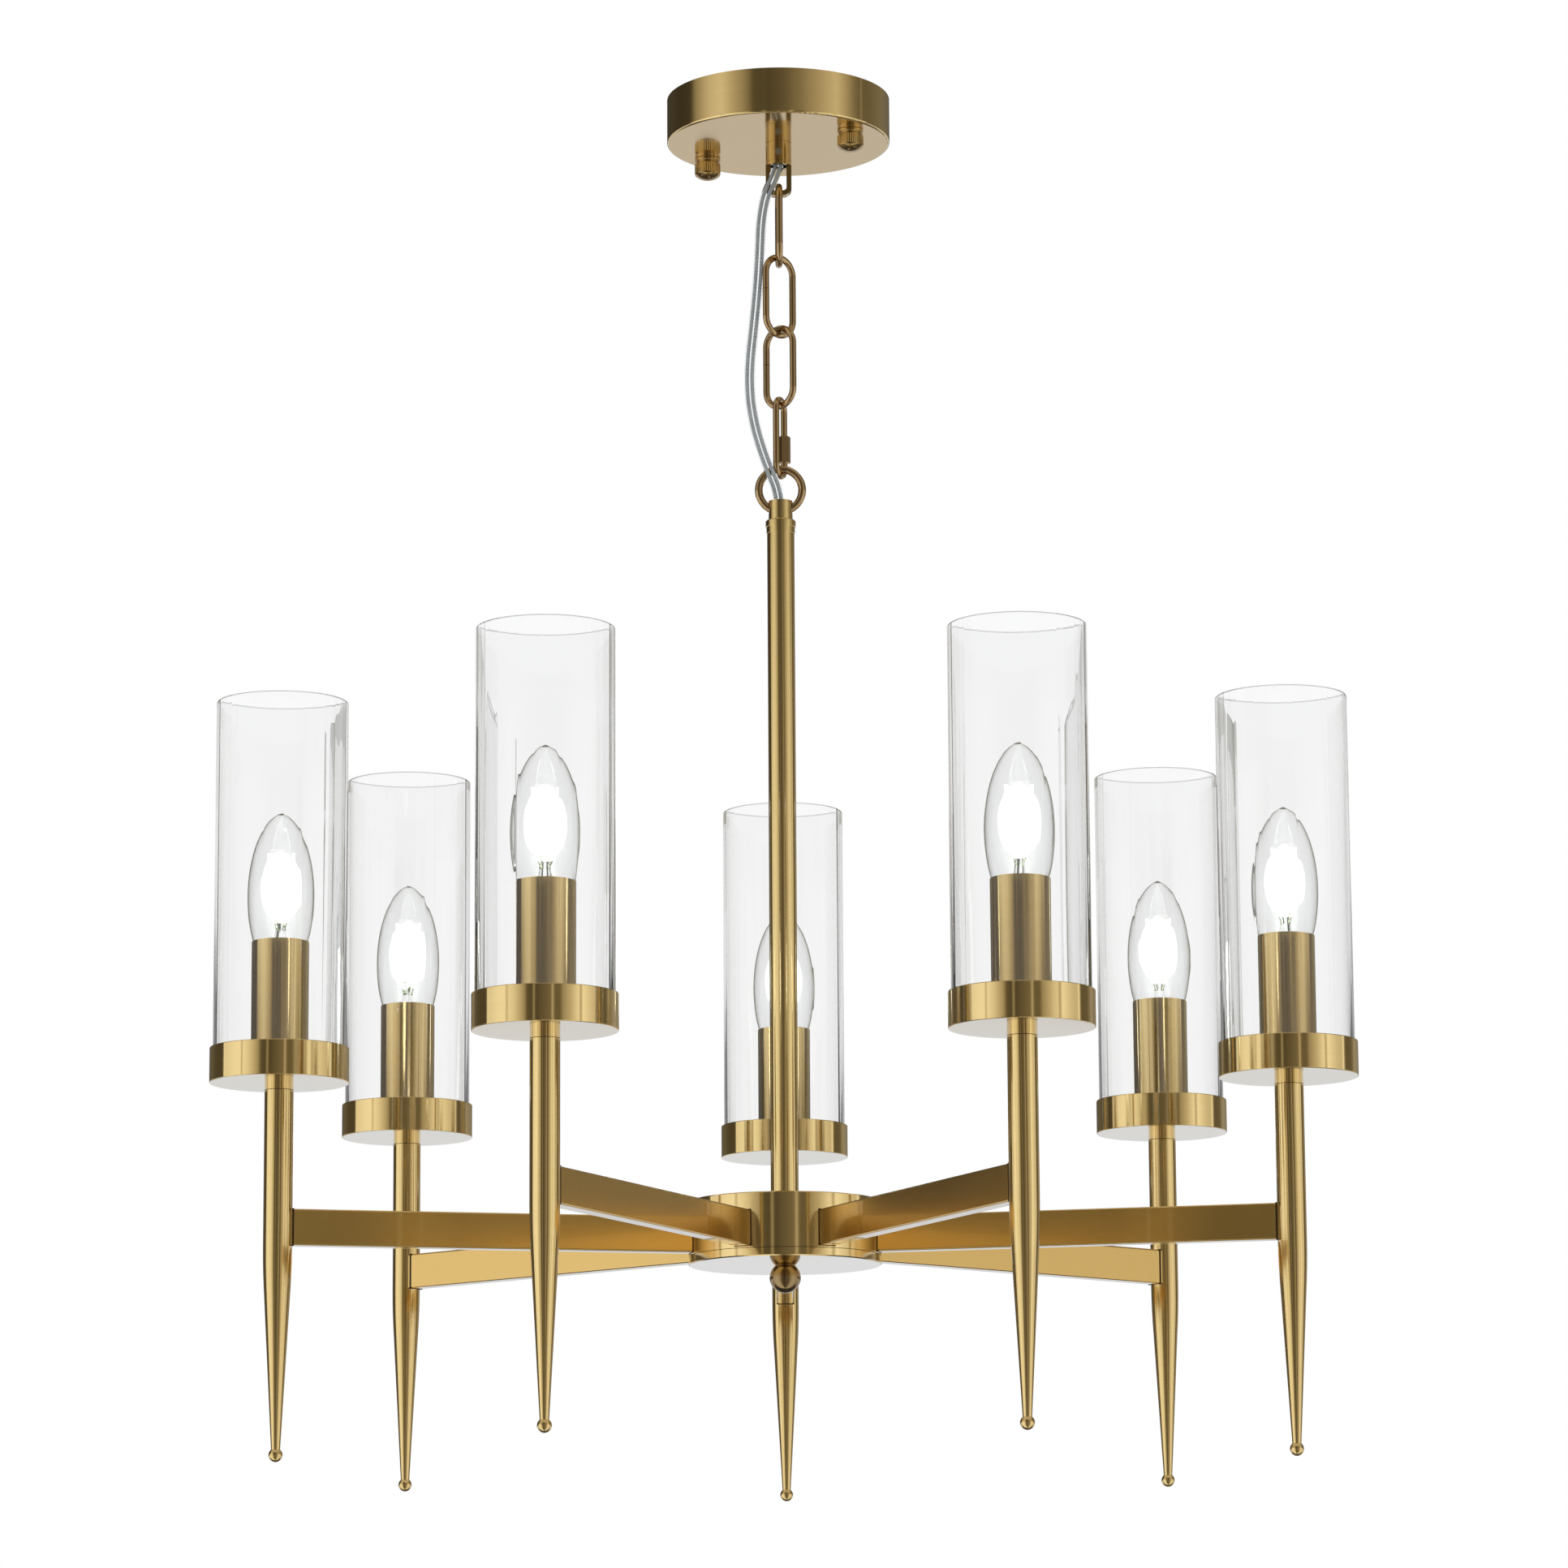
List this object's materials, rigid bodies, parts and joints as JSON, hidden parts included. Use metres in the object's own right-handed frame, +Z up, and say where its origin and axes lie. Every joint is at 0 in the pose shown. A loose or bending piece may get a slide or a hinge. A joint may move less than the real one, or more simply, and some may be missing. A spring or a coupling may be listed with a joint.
{
  "type": "multi arm chandelier",
  "caption": "Ceiling light in satin brass: slender tapered posts on radial arms carry clear glass cylinders with candle lamps, hung from a round canopy by a short chain.",
  "frame": {"origin": "on the ceiling, at the middle of the mounting bracket and of its two ceiling-screw holes", "axes": "+Z up along the stem, -Y towards the front, arm 1 points along +Y"},
  "size_m": [0.6346, 0.6207, 0.7907],
  "materials": {
    "satin_brass": "satin brushed",
    "zinc_steel": "zinc plated",
    "bright_steel": "bright",
    "block_plastic": "matt",
    "holder_plastic": "matt",
    "lead_sleeve": "smooth",
    "clear_flex": "clear over tinned strands",
    "clear_glass": "clear polished",
    "lamp_glass": "clear, lit"
  },
  "bodies": {
    "canopy": {"mounting_bracket": "zinc_steel", "bracket_studs": "zinc_steel", "canopy": "satin_brass", "canopy_nipple": "zinc_steel", "chain_grip": "satin_brass", "grip_set_screw": "bright_steel", "terminal_block": "block_plastic", "power_cord": "clear_flex"},
    "cap_nut_left": {"cap_nut_left": "satin_brass"},
    "cap_nut_right": {"cap_nut_right": "satin_brass"},
    "chain": {"chain_link_1": "satin_brass", "chain_link_2": "satin_brass", "chain_link_3": "satin_brass", "quick_link": "satin_brass"},
    "quick_link_nut": {"quick_link_nut": "satin_brass"},
    "ring": {"stem_ring": "satin_brass"},
    "fixture": {"stem_cap": "satin_brass", "stem_tube": "satin_brass", "hub_body": "satin_brass", "hub_cover": "satin_brass", "hub_nipple": "zinc_steel", "finial": "satin_brass", "internal_leads": "lead_sleeve", "candle_sleeves": "satin_brass", "lamp_holders": "holder_plastic", "arm_1": "satin_brass", "post_1": "satin_brass", "cup_1": "satin_brass", "arm_2": "satin_brass", "post_2": "satin_brass", "cup_2": "satin_brass", "arm_3": "satin_brass", "post_3": "satin_brass", "cup_3": "satin_brass", "arm_4": "satin_brass", "post_4": "satin_brass", "cup_4": "satin_brass", "arm_5": "satin_brass", "post_5": "satin_brass", "cup_5": "satin_brass", "arm_6": "satin_brass", "post_6": "satin_brass", "cup_6": "satin_brass", "arm_7": "satin_brass", "post_7": "satin_brass", "cup_7": "satin_brass"},
    "glass_1": {"glass_1": "clear_glass"},
    "bulb_1": {"bulb_1": "lamp_glass"},
    "glass_2": {"glass_2": "clear_glass"},
    "bulb_2": {"bulb_2": "lamp_glass"},
    "glass_3": {"glass_3": "clear_glass"},
    "bulb_3": {"bulb_3": "lamp_glass"},
    "glass_4": {"glass_4": "clear_glass"},
    "bulb_4": {"bulb_4": "lamp_glass"},
    "glass_5": {"glass_5": "clear_glass"},
    "bulb_5": {"bulb_5": "lamp_glass"},
    "glass_6": {"glass_6": "clear_glass"},
    "bulb_6": {"bulb_6": "lamp_glass"},
    "glass_7": {"glass_7": "clear_glass"},
    "bulb_7": {"bulb_7": "lamp_glass"}
  },
  "joints": [
    {"name": "chain_swing", "type": "hinge", "parent": "canopy", "child": "chain", "pos_m": [0, 0, -0.05205], "axis": [0, 1, 0], "range_deg": [-15, 15], "deforming": ["power_cord"]},
    {"name": "ring_turn", "type": "hinge", "parent": "chain", "child": "ring", "pos_m": [0, 0, -0.21982], "axis": [0, 0, 1], "range_deg": [-25, 8]},
    {"name": "stem_tip", "type": "hinge", "parent": "ring", "child": "fixture", "pos_m": [0, 0, -0.24306], "axis": [1, 0, 0], "range_deg": [-15, 15]},
    {"name": "gate_nut_run", "type": "slide", "parent": "chain", "child": "quick_link_nut", "axis": [0, 0, 1], "range_m": [0, 0.009]},
    {"name": "cap_nut_left_unscrew", "type": "slide", "parent": "canopy", "child": "cap_nut_left", "axis": [0, 0, -1], "range_m": [0, 0.012]},
    {"name": "cap_nut_right_unscrew", "type": "slide", "parent": "canopy", "child": "cap_nut_right", "axis": [0, 0, -1], "range_m": [0, 0.012]},
    {"name": "glass_1_lift", "type": "slide", "parent": "fixture", "child": "glass_1", "axis": [0, 0, 1], "range_m": [0, 0.16]},
    {"name": "bulb_1_unscrew", "type": "slide", "parent": "fixture", "child": "bulb_1", "axis": [0, 0, 1], "range_m": [0, 0.04]},
    {"name": "glass_2_lift", "type": "slide", "parent": "fixture", "child": "glass_2", "axis": [0, 0, 1], "range_m": [0, 0.16]},
    {"name": "bulb_2_unscrew", "type": "slide", "parent": "fixture", "child": "bulb_2", "axis": [0, 0, 1], "range_m": [0, 0.04]},
    {"name": "glass_3_lift", "type": "slide", "parent": "fixture", "child": "glass_3", "axis": [0, 0, 1], "range_m": [0, 0.16]},
    {"name": "bulb_3_unscrew", "type": "slide", "parent": "fixture", "child": "bulb_3", "axis": [0, 0, 1], "range_m": [0, 0.04]},
    {"name": "glass_4_lift", "type": "slide", "parent": "fixture", "child": "glass_4", "axis": [0, 0, 1], "range_m": [0, 0.16]},
    {"name": "bulb_4_unscrew", "type": "slide", "parent": "fixture", "child": "bulb_4", "axis": [0, 0, 1], "range_m": [0, 0.04]},
    {"name": "glass_5_lift", "type": "slide", "parent": "fixture", "child": "glass_5", "axis": [0, 0, 1], "range_m": [0, 0.16]},
    {"name": "bulb_5_unscrew", "type": "slide", "parent": "fixture", "child": "bulb_5", "axis": [0, 0, 1], "range_m": [0, 0.04]},
    {"name": "glass_6_lift", "type": "slide", "parent": "fixture", "child": "glass_6", "axis": [0, 0, 1], "range_m": [0, 0.16]},
    {"name": "bulb_6_unscrew", "type": "slide", "parent": "fixture", "child": "bulb_6", "axis": [0, 0, 1], "range_m": [0, 0.04]},
    {"name": "glass_7_lift", "type": "slide", "parent": "fixture", "child": "glass_7", "axis": [0, 0, 1], "range_m": [0, 0.16]},
    {"name": "bulb_7_unscrew", "type": "slide", "parent": "fixture", "child": "bulb_7", "axis": [0, 0, 1], "range_m": [0, 0.04]}
  ]
}
